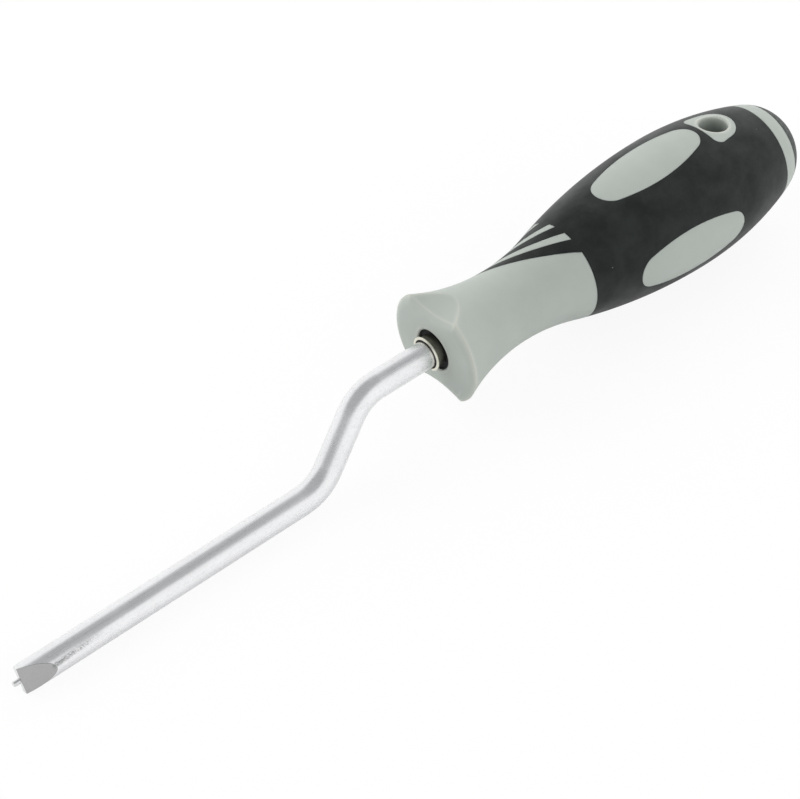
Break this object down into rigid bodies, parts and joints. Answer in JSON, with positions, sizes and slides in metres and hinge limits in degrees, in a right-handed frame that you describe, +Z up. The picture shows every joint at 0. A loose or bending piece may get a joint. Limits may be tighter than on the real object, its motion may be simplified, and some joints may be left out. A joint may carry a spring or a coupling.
{
  "type": "spoke nipple driver",
  "caption": "Spoke nipple driver: a cranked steel rod with a blade and a pilot pin, turning on ball bearings in a two-colour moulded handle.",
  "frame": {"origin": "on the ground plane, under the middle of the tool's box", "axes": "+X along the handle's axis towards its round end, +Z up, the tool lying on the ground"},
  "size_m": [0.2484, 0.0364, 0.0365],
  "materials": {
    "grey_plastic": "satin",
    "black_grip": "matte",
    "cap_rubber": "matte",
    "seal_rubber": "matte",
    "satin_chrome": "satin",
    "pin_steel": "satin",
    "ring_nickel": "polished",
    "sleeve_bronze": "satin",
    "bearing_steel": "polished",
    "spacer_aluminium": "satin",
    "spring_steel": "satin",
    "cage_brass": "satin"
  },
  "bodies": {
    "handle": {"handle_core": "grey_plastic", "grip": "black_grip", "end_cap": "cap_rubber", "front_dust_seal": "seal_rubber", "front_outer_race": "bearing_steel", "front_bearing_seals": "seal_rubber", "outer_spacer": "spacer_aluminium", "rear_outer_race": "bearing_steel", "rear_bearing_seals": "seal_rubber"},
    "crank": {"crank_shaft": "satin_chrome", "pilot_pin": "pin_steel", "front_retaining_ring": "ring_nickel", "front_sleeve": "sleeve_bronze", "front_inner_race": "bearing_steel", "inner_spacer": "spacer_aluminium", "rear_inner_race": "bearing_steel", "rear_washer": "bearing_steel", "rear_circlip": "spring_steel"},
    "front_ball_cage": {"front_cage": "cage_brass", "front_balls": "bearing_steel"},
    "rear_ball_cage": {"rear_cage": "cage_brass", "rear_balls": "bearing_steel"}
  },
  "joints": [
    {"name": "crank_spin", "type": "hinge", "parent": "handle", "child": "crank", "pos_m": [0.03, 0, 0.01825], "axis": [-1, 0, 0], "continuous": true},
    {"name": "front_cage_spin", "type": "hinge", "parent": "handle", "child": "front_ball_cage", "pos_m": [0.00535, 0, 0.01825], "axis": [-1, 0, 0], "continuous": true},
    {"name": "rear_cage_spin", "type": "hinge", "parent": "handle", "child": "rear_ball_cage", "pos_m": [0.05715, 0, 0.01825], "axis": [-1, 0, 0], "continuous": true}
  ],
  "couplings": [
    {"joint": "front_cage_spin", "follows": "crank_spin", "ratio": 0.43889},
    {"joint": "rear_cage_spin", "follows": "crank_spin", "ratio": 0.43889}
  ]
}
